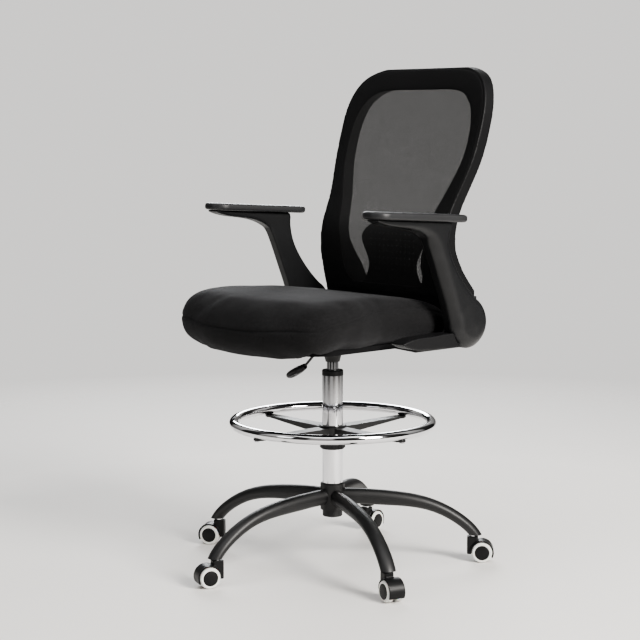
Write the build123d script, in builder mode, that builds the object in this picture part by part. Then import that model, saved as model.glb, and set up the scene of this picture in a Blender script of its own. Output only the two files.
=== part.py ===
"""Drafting chair: five-leg base on twin-wheel casters, gas column with a foot ring,
fabric seat, mesh back with a lumbar panel and flip-up arms.

Millimetres.  The origin is on the floor under the column axis, +Z is up, the chair
faces -Y and the sitter's left is +X.
"""
from math import cos, radians, sin, tan
import os

from build123d import *

# ---- base and casters ----
leg_count = 5
first_leg_angle = 50.45
stem_circle_radius = 345.0
leg_clearance = 17.0
leg_wall = 2.0
hub_low_z = 135.0
hub_height = 66.0
hub_wall = 4.5
socket_radius = 7.5
socket_depth = 18.0

caster_headings = [44.0, 97.5, 215.0, 250.0, 343.5]
wheel_radius = 25.0
trail_inset = 3.0
wheel_inner_face = 5.2
wheel_outer_face = 22.6
cap_bulge = 1.6
tread_depth = 5.4
axle_radius = 4.0
stem_radius = 5.5
stem_hold = 22.0
stem_collar_radius = 8.0
hood_gap = 1.3
hood_wall = 2.6
hood_half_width = 20.0
web_half_width = 4.6
neck_radius = 11.5

# ---- column ----
column_radius = 25.0
column_wall = 1.5
column_low_z = 118.0
column_height = 346.0
column_floor = 3.5
bush_flange_height = 13.0
bush_flange_lip = 0.8
bush_sleeve_length = 115.0
lift_radius = 14.0
lift_wall = 1.4
lift_show = 20.0
lift_length_below = 325.0
taper_length = 36.0
taper_top_radius = 13.2
rod_radius = 5.0
rod_length = 265.0
bearing_radius = 11.0
bearing_height = 6.0
pin_radius = 4.0
pin_length = 22.0
pin_show = 6.0

# ---- foot ring ----
hoop_radius = 238.8
hoop_tube_radius = 11.5
hoop_wall = 1.6
hoop_z = 349.0
spoke_thickness = 5.0
spoke_root_width = 40.0
spoke_tip_width = 24.0
spoke_root_depth = 21.0
spoke_sheet = 3.0
spider_wall = 9.0
spider_height = 38.0
spider_drop = 7.0
spider_chamfer = 3.0
sleeve_wall = 3.0
collar_wall = 2.95
collar_height = 16.0
ring_bolt_radius = 3.0

# ---- seat plate and lever ----
socket_length = 24.0
socket_wall = 3.2
socket_flare = 6.0
dish_depth = 26.0
dish_sheet = 3.0
dish_base = 92.0
dish_mouth = 150.0
flange_width = 196.0
flange_depth = 170.0
plate_bolt_spacing = 160.0
plate_bolt_depth = 140.0
lever_yaw = 8.0
lever_rod_radius = 3.25
lever_pivot_out = 40.0
lever_pivot_drop = 9.0
lever_pin_radius = 1.5
paddle_length = 86.0
paddle_width = 27.0
paddle_thickness = 13.0

# ---- seat ----
seat_width = 500.0
seat_flare = 20.0
seat_front = 322.0
seat_bow = 34.0
seat_rear = 183.0
shell_thickness = 12.0
shell_width = 440.0
shell_inset = 62.0
cushion_front_top = 108.0
cushion_rear_top = 74.0
cushion_lip_drop = 12.0
cushion_front_corner = 76.0
cushion_rear_corner = 88.0

# ---- brackets and arms ----
bracket_gap = 2.5
bracket_plate = 10.0
bar_thickness = 8.5
shoe_width = 45.0
bracket_bolts = [(175.0, 60.0), (203.0, 105.0), (175.0, 150.0)]
arm_gap = 0.6
arm_width = 42.0
elbow_radius = 61.0
elbow_y = 169.0
elbow_above_shell = 41.0
pivot_radius = 9.0
pad_length = 300.0
pad_width = 77.0
pad_thickness = 18.0
pad_tilt = 3.4
pad_edge = 5.0
arm_edge = 2.0

# ---- back ----
back_half_width = 243.0
back_waist_trim = 25.0
back_height = 642.0
border_top = 52.0
border_side = 35.0
opening_foot_half = 142.0
mesh_thickness = 1.5
lumbar_half_width = 108.0
lumbar_thickness = 4.0
lumbar_top = 260.0
lumbar_hole_radius = 2.2
lumbar_hole_pitch = 15.0
tongue_thickness = 8.0
bolt_radius = 3.0

# ---- clearances ----
running = 0.05
seated = 0.02

# ---- sizes and levels that follow from the ones above ----
leg_end_z = 2 * wheel_radius + leg_clearance
caster_trail = wheel_radius - trail_inset
hub_radius = column_radius + hub_wall
bush_flange_radius = column_radius + bush_flange_lip
spider_radius = column_radius + spider_wall
collar_radius = column_radius + running + sleeve_wall + collar_wall
hub_top_z = hub_low_z + hub_height
column_top_z = column_low_z + column_height
bush_top_z = column_top_z + bush_flange_height
socket_low_z = bush_top_z + lift_show
dish_low_z = socket_low_z + socket_length
shell_low_z = dish_low_z + dish_depth + dish_sheet
shell_top_z = shell_low_z + shell_thickness
lift_top_z = dish_low_z + dish_sheet + 6.0
pin_top_z = lift_top_z + pin_show
lever_pivot_z = shell_low_z - lever_pivot_drop
half_seat = seat_width / 2
bracket_inner_x = half_seat + bracket_gap
bracket_outer_x = bracket_inner_x + bracket_plate
arm_inner_x = bracket_outer_x + arm_gap
arm_mid_x = arm_inner_x + arm_width / 2
elbow_z = shell_top_z + elbow_above_shell

os.makedirs("parts", exist_ok=True)


def save(part, label):
    """Label a finished piece and write it as its own STEP file."""
    part.label = label
    export_step(part, f"parts/{label}.step")


def turned(outline):
    """A piece turned about the column axis from (radius, height) points."""
    with BuildPart() as piece:
        with BuildSketch(Plane.XZ):
            with BuildLine():
                Polyline(*outline, close=True)
            make_face()
        revolve(axis=Axis.Z)
    return piece.part


def side_plane(x):
    """A sketch plane at this x whose own axes are the chair's Y and Z."""
    return Plane(origin=(x, 0, 0), x_dir=(0, 1, 0), z_dir=(1, 0, 0))


# ======================= base =======================
column_taper = 0.8
save(
    turned([
        (column_radius - column_taper + seated, hub_low_z),
        (hub_radius, hub_low_z),
        (hub_radius, hub_top_z - 3.0),
        (hub_radius - 3.0, hub_top_z),
        (column_radius + seated, hub_top_z),
    ]),
    "base_hub",
)

# Stations down a leg: reach, height, downhill slope, width and depth of the oval.
leg_end_slope = 52.0
leg_reach = stem_circle_radius + 4.0
leg_stations = [
    (0.057, hub_low_z + 32.0, 0.0, 30.0, 38.0),
    (0.172, hub_low_z + 30.5, 3.0, 30.0, 38.0),
    (0.330, hub_low_z + 27.0, 5.0, 31.0, 38.0),
    (0.496, hub_low_z + 21.5, 8.0, 33.0, 35.0),
    (0.656, leg_end_z + 78.5, 16.0, 34.0, 31.0),
    (0.811, leg_end_z + 56.0, 29.0, 35.0, 28.5),
    (0.917, leg_end_z + 31.5, 40.0, 36.0, 27.5),
    (1.018, leg_end_z - 8.0, leg_end_slope, 36.0, 27.0),
]


def leg_skin(stations, angle, inset):
    """The oval tube's skin, lofted through its stations and drawn in by inset."""
    heading = radians(angle)
    with BuildPart(mode=Mode.PRIVATE) as skin:
        for share, z, slope, wide, deep in stations:
            reach = share * leg_reach
            fall = radians(slope)
            station = Plane(
                origin=(reach * cos(heading), reach * sin(heading), z),
                x_dir=(-sin(heading), cos(heading), 0),
                z_dir=(cos(fall) * cos(heading), cos(fall) * sin(heading), -sin(fall)),
            )
            with BuildSketch(station):
                Ellipse(wide / 2 - inset, deep / 2 - inset)
        loft()
    return skin.part


def leg_angle(index):
    """The direction that a leg runs from the column, in degrees from +X."""
    return first_leg_angle + index * 360.0 / leg_count


def stem_axis(index):
    """Where a caster's stem stands: x and y."""
    angle = radians(leg_angle(index))
    return stem_circle_radius * cos(angle), stem_circle_radius * sin(angle)


for index in range(leg_count):
    stem_x, stem_y = stem_axis(index)
    outer_skin = leg_skin(leg_stations, leg_angle(index), 0.0)
    inner_skin = leg_skin(leg_stations[:-1], leg_angle(index), leg_wall)
    with BuildPart() as leg:
        add(outer_skin)
        add(inner_skin, mode=Mode.SUBTRACT)
        with BuildSketch(Plane.XY.offset(hub_low_z - 40.0)):
            Circle(hub_radius)
        extrude(amount=hub_height + 80.0, mode=Mode.SUBTRACT)
        with BuildSketch(Plane.XY.offset(leg_end_z)):
            with Locations((stem_x, stem_y)):
                Circle(60.0)
        extrude(amount=-60.0, mode=Mode.SUBTRACT)
        with BuildSketch(Plane.XY.offset(leg_end_z)):
            with Locations((stem_x, stem_y)):
                Circle(socket_radius)
        extrude(amount=socket_depth, mode=Mode.SUBTRACT)
    save(leg.part, f"base_leg_{index + 1}")

with BuildPart() as leg_sockets:
    with BuildSketch(Plane.XY.offset(leg_end_z)):
        for index in range(leg_count):
            stem_x, stem_y = stem_axis(index)
            with Locations((stem_x, stem_y)):
                Circle(socket_radius - seated)
                Circle(stem_radius + running, mode=Mode.SUBTRACT)
    extrude(amount=socket_depth - 0.2)
save(leg_sockets.part, "leg_sockets")

# ======================= column =======================
tube_inner = column_radius - column_wall
column_floor_top = column_low_z + column_floor
save(
    turned([
        (rod_radius + running, column_low_z),
        (column_radius - column_taper - 1.0, column_low_z),
        (column_radius - column_taper, column_low_z + 1.0),
        (column_radius - column_taper, hub_low_z),
        (column_radius, hub_top_z),
        (column_radius, column_top_z),
        (tube_inner, column_top_z),
        (tube_inner, hub_top_z),
        (tube_inner - column_taper, hub_low_z),
        (tube_inner - column_taper, column_floor_top),
        (rod_radius + running, column_floor_top),
    ]),
    "column_tube",
)
save(
    turned([
        (lift_radius + running, bush_top_z),
        (bush_flange_radius - 1.5, bush_top_z),
        (bush_flange_radius, bush_top_z - 1.5),
        (bush_flange_radius, column_top_z),
        (tube_inner - seated, column_top_z),
        (tube_inner - seated, column_top_z - bush_sleeve_length),
        (lift_radius + running, column_top_z - bush_sleeve_length),
    ]),
    "guide_bush",
)
bearing_top_z = column_floor_top + bearing_height
save(
    turned([
        (rod_radius + running, column_floor_top),
        (bearing_radius, column_floor_top),
        (bearing_radius, bearing_top_z),
        (rod_radius + running, bearing_top_z),
    ]),
    "thrust_bearing",
)
rod_shoulder = 8.0
rod_low_z = column_low_z - 6.0
rod_top_z = rod_low_z + rod_length
clip_groove = 0.8
clip_low_z = column_low_z - 2.2
lift_bore = lift_radius - lift_wall
save(
    turned([
        (0, rod_low_z),
        (rod_radius - 1.0, rod_low_z),
        (rod_radius, rod_low_z + 1.0),
        (rod_radius, clip_low_z),
        (rod_radius - clip_groove, clip_low_z),
        (rod_radius - clip_groove, column_low_z - 0.4),
        (rod_radius, column_low_z - 0.4),
        (rod_radius, bearing_top_z),
        (rod_shoulder, bearing_top_z),
        (rod_shoulder, bearing_top_z + 3.0),
        (rod_radius, bearing_top_z + 3.0),
        (rod_radius, rod_top_z - 12.0),
        (lift_bore - running, rod_top_z - 12.0),
        (lift_bore - running, rod_top_z),
        (0, rod_top_z),
    ]),
    "piston_rod",
)
with BuildPart() as rod_clip:
    with BuildSketch(Plane.XY.offset(clip_low_z + seated)):
        Circle(rod_shoulder + 0.5)
        Circle(rod_radius - clip_groove + seated, mode=Mode.SUBTRACT)
        with Locations((rod_shoulder, 0)):
            Rectangle(2 * rod_shoulder, 2.0 * (rod_radius - clip_groove) - 1.6, mode=Mode.SUBTRACT)
    extrude(amount=column_low_z - 0.4 - clip_low_z - 2 * seated)
save(rod_clip.part, "rod_clip")

lift_low_z = lift_top_z - lift_length_below - taper_length
lift_end_wall = 10.0
save(
    turned([
        (rod_radius + running, lift_low_z),
        (lift_radius - 1.0, lift_low_z),
        (lift_radius, lift_low_z + 1.0),
        (lift_radius, lift_top_z - taper_length),
        (taper_top_radius, lift_top_z),
        (pin_radius + running, lift_top_z),
        (pin_radius + running, lift_top_z - taper_length),
        (lift_bore, lift_top_z - taper_length),
        (lift_bore, lift_low_z + lift_end_wall),
        (rod_radius + running, lift_low_z + lift_end_wall),
    ]),
    "lift_cylinder",
)
save(
    turned([
        (0, pin_top_z - pin_length),
        (pin_radius, pin_top_z - pin_length),
        (pin_radius, pin_top_z - 1.0),
        (pin_radius - 1.0, pin_top_z),
        (0, pin_top_z),
    ]),
    "release_pin",
)

# ======================= foot ring =======================
spider_low_z = hoop_z - spider_height - spider_drop
spoke_top_z = hoop_z - hoop_tube_radius - seated
bolt_circle = hoop_radius
with BuildPart() as ring_hoop:
    with BuildSketch(Plane.XZ):
        with Locations((hoop_radius, hoop_z)):
            Circle(hoop_tube_radius)
            Circle(hoop_tube_radius - hoop_wall, mode=Mode.SUBTRACT)
    revolve(axis=Axis.Z)
    with BuildSketch(Plane.XY.offset(hoop_z)):
        with PolarLocations(bolt_circle, 4):
            Circle(ring_bolt_radius + seated)
    extrude(amount=-hoop_tube_radius - 1.0, mode=Mode.SUBTRACT)
save(ring_hoop.part, "ring_hoop")



def ring_spoke():
    """A pressed spoke, open below: deep at the hub and a flat pad under the hoop."""
    pad_start = hoop_radius - 20.0
    with BuildPart(mode=Mode.PRIVATE) as spoke:
        with BuildSketch(Plane.XY.offset(spoke_top_z)):
            with BuildLine():
                Polyline(
                    (0, -spoke_root_width / 2),
                    (hoop_radius - 6.0, -spoke_tip_width / 2),
                    (hoop_radius + 5.0, -spoke_tip_width / 2 + 5.0),
                    (hoop_radius + 5.0, spoke_tip_width / 2 - 5.0),
                    (hoop_radius - 6.0, spoke_tip_width / 2),
                    (0, spoke_root_width / 2),
                    close=True,
                )
            make_face()
        extrude(amount=-spoke_root_depth)
        with BuildSketch(Plane.XZ):
            with BuildLine():
                Polyline(
                    (0, spoke_top_z),
                    (hoop_radius + 5.0, spoke_top_z),
                    (hoop_radius + 5.0, spoke_top_z - spoke_thickness),
                    (pad_start, spoke_top_z - spoke_thickness),
                    (0, spoke_top_z - spoke_root_depth),
                    close=True,
                )
            make_face()
        extrude(amount=spoke_root_width, both=True, mode=Mode.INTERSECT)
        with BuildSketch(Plane.XY.offset(spoke_top_z - spoke_sheet)):
            with BuildLine():
                Polyline(
                    (spider_radius + spoke_sheet, -spoke_root_width / 2 + spoke_sheet + 1.0),
                    (pad_start - 4.0, -spoke_tip_width / 2 + spoke_sheet),
                    (pad_start - 4.0, spoke_tip_width / 2 - spoke_sheet),
                    (spider_radius + spoke_sheet, spoke_root_width / 2 - spoke_sheet - 1.0),
                    close=True,
                )
            make_face()
        extrude(amount=-spoke_root_depth, mode=Mode.SUBTRACT)
    return spoke.part


sleeve_outer = column_radius + running + sleeve_wall
sleeve_rise = 24.0
with BuildPart() as ring_spider:
    with BuildSketch(Plane.XY.offset(spider_low_z)):
        Circle(spider_radius)
    extrude(amount=spider_height)
    for turn in range(4):
        add(ring_spoke().rotate(Axis.Z, 90.0 * turn))
    with BuildSketch(Plane.XY.offset(spider_low_z)):
        Circle(column_radius + running)
    extrude(amount=spider_height, mode=Mode.SUBTRACT)
    with BuildSketch(Plane.XY.offset(spider_low_z)):
        Circle(sleeve_outer + seated)
    extrude(amount=sleeve_rise, mode=Mode.SUBTRACT)
    with BuildSketch(Plane.XY.offset(spoke_top_z)):
        with PolarLocations(bolt_circle, 4):
            Circle(ring_bolt_radius + seated)
    extrude(amount=-spoke_thickness, mode=Mode.SUBTRACT)
    top_circles = ring_spider.edges().filter_by(GeomType.CIRCLE).group_by(Axis.Z)[-1]
    chamfer(top_circles.sort_by(SortBy.RADIUS)[-1], spider_chamfer)
save(ring_spider.part, "ring_spider")

spoke_low_z = spoke_top_z - spoke_thickness
with BuildPart() as ring_bolts:
    with BuildSketch(Plane.XY.offset(spoke_low_z)):
        with PolarLocations(bolt_circle, 4):
            Circle(ring_bolt_radius)
    extrude(amount=spoke_thickness + hoop_tube_radius)
    with BuildSketch(Plane.XY.offset(spoke_low_z)):
        with PolarLocations(bolt_circle, 4):
            Circle(2 * ring_bolt_radius)
    extrude(amount=-2.5)
save(ring_bolts.part, "ring_bolts")

collar_low_z = spider_low_z - collar_height - 0.4
with BuildPart() as ring_sleeve:
    with BuildSketch(Plane.XY.offset(collar_low_z - 3.0)):
        Circle(sleeve_outer)
        Circle(column_radius + running, mode=Mode.SUBTRACT)
        with Locations((sleeve_outer, 0)):
            Rectangle(4 * sleeve_wall, 2.0, mode=Mode.SUBTRACT)
    extrude(amount=collar_height + 3.4 + sleeve_rise - seated)
save(ring_sleeve.part, "ring_sleeve")
grip_count = 24
with BuildPart() as ring_collar:
    with BuildSketch(Plane.XY.offset(collar_low_z)):
        Circle(collar_radius)
        Circle(sleeve_outer + running, mode=Mode.SUBTRACT)
        with PolarLocations(collar_radius + 0.6, grip_count):
            Circle(1.6, mode=Mode.SUBTRACT)
    extrude(amount=collar_height)
save(ring_collar.part, "ring_collar")

# ======================= casters =======================
hood_inner = wheel_radius + hood_gap
hood_outer = hood_inner + hood_wall
neck_top_z = leg_end_z - 4.0
hood_tail_angle = -28.0


def caster(index):
    """Write one caster: hood, stem, axle and its two wheels."""
    stem_x, stem_y = stem_axis(index)
    heading = radians(caster_headings[index])
    along = Vector(cos(heading), sin(heading), 0)
    across = Vector(sin(heading), -cos(heading), 0)
    stem_foot = Vector(stem_x, stem_y, 0)
    axle_centre = stem_foot + along * caster_trail + Vector(0, 0, wheel_radius)
    wheel_plane = Plane(origin=axle_centre, x_dir=along, z_dir=across)
    number = index + 1

    with BuildPart() as hood:
        with BuildSketch(Plane(origin=stem_foot + Vector(0, 0, neck_top_z), x_dir=along, z_dir=(0, 0, 1))):
            Circle(neck_radius)
            with Locations((-1.0, 0)):
                RectangleRounded(2 * neck_radius + 4.0, 2 * neck_radius, 4.0)
        extrude(amount=wheel_radius - 6.0 - neck_top_z)
        with BuildSketch(wheel_plane):
            with BuildLine():
                CenterArc((0, 0), hood_outer, hood_tail_angle, 180.0 - hood_tail_angle)
                Line((-hood_outer, 0), (0, 0))
                Line((0, 0), PolarLine((0, 0), hood_outer, hood_tail_angle, mode=Mode.PRIVATE) @ 1)
            make_face()
        extrude(amount=hood_half_width, both=True)
        with BuildSketch(wheel_plane.offset(web_half_width)):
            Circle(hood_inner)
        extrude(amount=2 * hood_half_width, mode=Mode.SUBTRACT)
        with BuildSketch(wheel_plane.offset(-web_half_width)):
            Circle(hood_inner)
        extrude(amount=-2 * hood_half_width, mode=Mode.SUBTRACT)
        with BuildSketch(wheel_plane):
            Circle(axle_radius + 4.0)
        extrude(amount=web_half_width, both=True)
        with BuildSketch(wheel_plane):
            Circle(axle_radius)
        extrude(amount=web_half_width, both=True, mode=Mode.SUBTRACT)
        with BuildSketch(Plane(origin=stem_foot + Vector(0, 0, neck_top_z), x_dir=along, z_dir=(0, 0, 1))):
            Circle(stem_radius)
        extrude(amount=-stem_hold, mode=Mode.SUBTRACT)
    save(hood.part, f"caster_hood_{number}")

    with BuildPart() as stem:
        with BuildSketch(Plane(origin=stem_foot + Vector(0, 0, neck_top_z - stem_hold), z_dir=(0, 0, 1))):
            Circle(stem_radius)
        extrude(amount=stem_hold + leg_end_z - neck_top_z + socket_depth - 1.5)
        with BuildSketch(Plane(origin=stem_foot + Vector(0, 0, neck_top_z), z_dir=(0, 0, 1))):
            Circle(stem_collar_radius)
        extrude(amount=leg_end_z - neck_top_z - 1.0)
    save(stem.part, f"caster_stem_{number}")

    axle_half = wheel_outer_face - 3.4
    with BuildPart() as axle:
        with BuildSketch(wheel_plane):
            Circle(axle_radius)
        extrude(amount=axle_half, both=True)
    save(axle.part, f"caster_axle_{number}")

    rim = wheel_radius - tread_depth
    bore = axle_radius + running
    for side, sign in (("left", -1.0), ("right", 1.0)):
        profile_plane = Plane(origin=axle_centre, x_dir=across * sign, z_dir=along * sign)
        with BuildPart() as wheel:
            with BuildSketch(profile_plane):
                with BuildLine():
                    Line((wheel_inner_face, bore), (wheel_inner_face, rim))
                    Line((wheel_inner_face, rim), (wheel_outer_face - 0.8, rim))
                    Line((wheel_outer_face - 0.8, rim), (wheel_outer_face, rim - 0.8))
                    Spline(
                        (wheel_outer_face, rim - 0.8),
                        (wheel_outer_face + 0.75 * cap_bulge, rim / 2),
                        (wheel_outer_face + cap_bulge, 0),
                    )
                    Line((wheel_outer_face + cap_bulge, 0), (axle_half + 0.4, 0))
                    Line((axle_half + 0.4, 0), (axle_half + 0.4, bore))
                    Line((axle_half + 0.4, bore), (wheel_inner_face, bore))
                make_face()
            revolve(axis=Axis(axle_centre, across))
            with BuildSketch(profile_plane):
                with BuildLine():
                    tread_low = rim + seated
                    Polyline(
                        (wheel_inner_face, tread_low),
                        (wheel_inner_face, wheel_radius - 1.2),
                        (wheel_inner_face + 1.2, wheel_radius),
                        (wheel_outer_face - 2.4, wheel_radius),
                        (wheel_outer_face - 0.6, wheel_radius - 1.6),
                        (wheel_outer_face, wheel_radius - 3.6),
                        (wheel_outer_face, tread_low),
                        close=True,
                    )
                make_face()
            revolve(axis=Axis(axle_centre, across))
        save(wheel.part, f"caster_wheel_{number}_{side}")


for index in range(leg_count):
    caster(index)

# ======================= seat plate =======================
taper_share = (lift_radius - taper_top_radius) / taper_length
socket_mouth_radius = lift_radius - max(0.0, taper_length - (lift_top_z - socket_low_z)) * taper_share
socket_top_radius = taper_top_radius + (lift_top_z - dish_low_z - dish_sheet) * taper_share
flange_low_z = shell_low_z - dish_sheet
slot_half = lever_rod_radius + 3.5
lever_heading = radians(180.0 - lever_yaw)
lever_out = Vector(cos(lever_heading), sin(lever_heading), 0)
lever_side = Vector(-sin(lever_heading), cos(lever_heading), 0)
lever_plane = Plane(origin=(0, 0, 0), x_dir=lever_out, z_dir=lever_out.cross(Vector(0, 0, 1)))
pivot_centre = lever_out * lever_pivot_out + Vector(0, 0, lever_pivot_z)
ear_thickness = 2.0
ear_offset = lever_rod_radius + 1.0


def across_lever(offset):
    """A plane square to the lever's pin, with its origin on the pivot and +Y upward."""
    return Plane(origin=pivot_centre + lever_side * offset, x_dir=-lever_out, z_dir=lever_side)


with BuildPart() as seat_plate:
    with BuildSketch(Plane.XY.offset(dish_low_z)):
        RectangleRounded(dish_base, dish_base, 16.0)
    with BuildSketch(Plane.XY.offset(shell_low_z)):
        RectangleRounded(dish_mouth, dish_mouth, 22.0)
    loft()
    with BuildSketch(Plane.XY.offset(flange_low_z)):
        RectangleRounded(flange_width, flange_depth, 14.0)
    extrude(amount=dish_sheet)
    with BuildSketch(Plane.XY.offset(dish_low_z + dish_sheet)):
        RectangleRounded(dish_base - 2 * dish_sheet, dish_base - 2 * dish_sheet, 13.0)
    with BuildSketch(Plane.XY.offset(shell_low_z)):
        RectangleRounded(dish_mouth - 2 * dish_sheet, dish_mouth - 2 * dish_sheet, 19.0)
    loft(mode=Mode.SUBTRACT)
    with BuildSketch(Plane.XY.offset(socket_low_z)):
        Circle(lift_radius + socket_wall)
    with BuildSketch(Plane.XY.offset(dish_low_z)):
        Circle(lift_radius + socket_wall + socket_flare)
    loft()
    with BuildSketch(Plane.XY.offset(socket_low_z)):
        Circle(socket_mouth_radius + seated)
    with BuildSketch(Plane.XY.offset(dish_low_z + dish_sheet)):
        Circle(socket_top_radius + seated)
    loft(mode=Mode.SUBTRACT)
    with BuildSketch(Plane.XY.offset(flange_low_z)):
        with GridLocations(plate_bolt_spacing, plate_bolt_depth, 2, 2):
            Circle(bolt_radius + running)
    extrude(amount=dish_sheet, mode=Mode.SUBTRACT)
    dish_floor_z = dish_low_z + dish_sheet
    with BuildSketch(Plane(origin=lever_out * (dish_base / 2), x_dir=lever_out).offset(dish_floor_z)):
        Rectangle(70.0, 2 * slot_half)
    extrude(amount=shell_low_z - dish_low_z - 2 * dish_sheet, mode=Mode.SUBTRACT)
    for side in (-1.0, 1.0):
        with BuildSketch(across_lever(side * (ear_offset + ear_thickness / 2))):
            with Locations((0, (dish_low_z + dish_sheet - lever_pivot_z + 5.0) / 2)):
                Rectangle(12.0, lever_pivot_z - dish_low_z - dish_sheet + 5.0)
        extrude(amount=ear_thickness / 2, both=True)
    with BuildSketch(across_lever(0)):
        Circle(lever_pin_radius + seated)
    extrude(amount=ear_offset + 2 * ear_thickness, both=True, mode=Mode.SUBTRACT)
save(seat_plate.part, "seat_plate")

# The lever's wire runs from over the release pin, past its pivot and down to the paddle.
lever_bend_out = lever_pivot_out + 10.0
lever_path = [
    (-pin_radius + 1.0, lever_pivot_z),
    (lever_bend_out, lever_pivot_z),
    (lever_bend_out + 20.0, lever_pivot_z - 29.0),
    (130.0, socket_low_z - 33.0),
]
grip_start = (118.0, socket_low_z - 25.5)
with BuildPart() as lever_rod:
    with BuildLine(lever_plane) as wire:
        FilletPolyline(*lever_path, radius=9.0)
    with BuildSketch(Plane(origin=wire.line @ 0, z_dir=wire.line % 0)):
        Circle(lever_rod_radius)
    sweep()
    with BuildSketch(across_lever(0)):
        Circle(lever_pin_radius + running)
    extrude(amount=2 * lever_rod_radius, both=True, mode=Mode.SUBTRACT)
save(lever_rod.part, "lever_rod")

paddle_slope = 24.0
paddle_out = lever_out * cos(radians(paddle_slope)) + Vector(0, 0, -sin(radians(paddle_slope)))
paddle_origin = lever_out * grip_start[0] + Vector(0, 0, grip_start[1])
paddle_stations = [
    (0.0, 10.0, 10.0),
    (0.16, 15.0, 11.5),
    (0.42, 25.0, 13.0),
    (0.70, 27.0, 13.0),
    (0.90, 22.0, 11.0),
    (1.0, 11.0, 6.0),
]
with BuildPart() as lever_paddle:
    for share, wide, deep in paddle_stations:
        centre = paddle_origin + paddle_out * (share * paddle_length)
        with BuildSketch(Plane(origin=centre, x_dir=lever_side, z_dir=paddle_out)):
            Ellipse(wide / 27.0 * paddle_width / 2, deep / 13.0 * paddle_thickness / 2)
    loft()
    add(offset(lever_rod.part, amount=seated, mode=Mode.PRIVATE), mode=Mode.SUBTRACT)
save(lever_paddle.part, "lever_paddle")

# ======================= seat =======================
shell_front = seat_front - shell_inset
shell_rear = seat_rear - 12.0
shell_middle = (shell_rear - shell_front) / 2
with BuildPart() as seat_shell:
    with BuildSketch(Plane.XY.offset(shell_low_z)):
        with Locations((0, shell_middle)):
            RectangleRounded(shell_width, shell_front + shell_rear, 70.0)
    extrude(amount=shell_thickness)
    with BuildSketch(Plane.XY.offset(shell_low_z)):
        with GridLocations(plate_bolt_spacing, plate_bolt_depth, 2, 2):
            Circle(bolt_radius + running)
        with Locations(*[(side * x, y) for side in (-1, 1) for x, y in bracket_bolts]):
            Circle(bolt_radius + running)
    extrude(amount=shell_thickness - 1.0, mode=Mode.SUBTRACT)
save(seat_shell.part, "seat_shell")

# The cushion is its plan outline cut by its side profile: a deep front lip, a domed top
# and a rounded back edge.
cushion_low_z = shell_top_z + seated
lip_clear = 5.0
cushion_half = half_seat + seat_flare
flare_start_y = -62.0
flare_end_y = -150.0
with BuildPart() as seat_cushion:
    with BuildSketch(Plane.XY.offset(shell_low_z - cushion_lip_drop)) as cushion_plan:
        with BuildLine():
            Polyline(
                (half_seat - 3.0, seat_rear),
                (half_seat, flare_start_y),
                (cushion_half, flare_end_y),
                (cushion_half, seat_bow - seat_front),
            )
            ThreePointArc(
                (cushion_half, seat_bow - seat_front),
                (0, -seat_front),
                (-cushion_half, seat_bow - seat_front),
            )
            Polyline(
                (-cushion_half, seat_bow - seat_front),
                (-cushion_half, flare_end_y),
                (-half_seat, flare_start_y),
                (-half_seat + 3.0, seat_rear),
                (half_seat - 3.0, seat_rear),
            )
        make_face()
        fillet(cushion_plan.vertices().group_by(Axis.Y)[-1], cushion_rear_corner)
        fillet(cushion_plan.vertices().group_by(Axis.Y)[0], cushion_front_corner)
    extrude(amount=cushion_lip_drop + shell_thickness + cushion_front_top)
    with BuildSketch(side_plane(-cushion_half)):
        with BuildLine():
            lip_z = shell_low_z - cushion_lip_drop + 9.0
            front_top_z = shell_top_z + cushion_front_top
            Spline(
                (-shell_front - lip_clear, cushion_low_z),
                (-shell_front - lip_clear - 3.0, lip_z + 6.0),
                (-seat_front + 22.0, lip_z),
                (-seat_front + 3.0, lip_z + 34.0),
                (-seat_front + 6.0, lip_z + 84.0),
                (-seat_front + 55.0, front_top_z - 7.0),
                (-60.0, front_top_z - 3.0),
                (100.0, shell_top_z + cushion_rear_top + 14.0),
                (seat_rear - 30.0, shell_top_z + cushion_rear_top - 6.0),
                (seat_rear - 2.0, shell_top_z + 0.5 * cushion_rear_top),
                (seat_rear - 16.0, cushion_low_z),
            )
            Line((seat_rear - 16.0, cushion_low_z), (-shell_front - lip_clear, cushion_low_z))
        make_face()
    extrude(amount=2 * cushion_half, mode=Mode.INTERSECT)
save(seat_cushion.part, "seat_cushion")

# ======================= back =======================
# Side profile of the back frame, as (y, height above the shell): front face from the foot
# upward, rear face from the top downward.
back_front = [(179, 96), (163, 174), (167, 253), (204, 333), (249, 438), (293, 578), (318, 642)]
back_rear = [(350, 642), (326, 578), (284, 438), (240, 333), (206, 262), (199, 198), (223, 152), (262, 106)]
back_band_z = shell_top_z + 86.0
back_foot_z = shell_top_z + 52.0
back_foot_y = seat_rear + 3.0
back_foot_rear_y = 206.0
lug_low_z = shell_top_z + 38.0
lug_rear_y = 262.0
lug_front_y = lug_rear_y - 25.0
lug_width = 38.0
hole_foot_z = back_band_z + 24.0
lumbar_front_y = 199.0


def lifted(points, shift=0.0):
    """Side-profile points as (y, z), moved by shift along Y."""
    return [(y + shift, shell_top_z + height) for y, height in points]


def back_outline(trim, foot_z):
    """The back's front outline down to foot_z, drawn in by trim."""
    top = shell_top_z + back_height - trim
    side = back_half_width - trim
    waist = side - back_waist_trim
    with BuildSketch(mode=Mode.PRIVATE) as outline:
        with BuildLine():
            edge = Spline(
                (0, top + 3.0),
                (side - 95.0, top - 2.0),
                (side - 38.0, top - 27.0),
                (side - 7.0, top - 80.0),
                (side, top - 160.0),
                (side - 5.0, top - 232.0),
                (side - 17.0, top - 290.0),
                (waist, top - 345.0),
                (waist + 1.0, top - 389.0),
                (waist + 5.0, top - 468.0),
                (waist + 3.0, back_band_z + 10.0),
                tangents=((1, 0), (0, -1)),
            )
            Polyline(edge @ 1, (waist + 3.0, foot_z), (0, foot_z), edge @ 0)
        make_face()
        mirror(about=Plane.YZ)
    return outline.sketch


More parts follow.
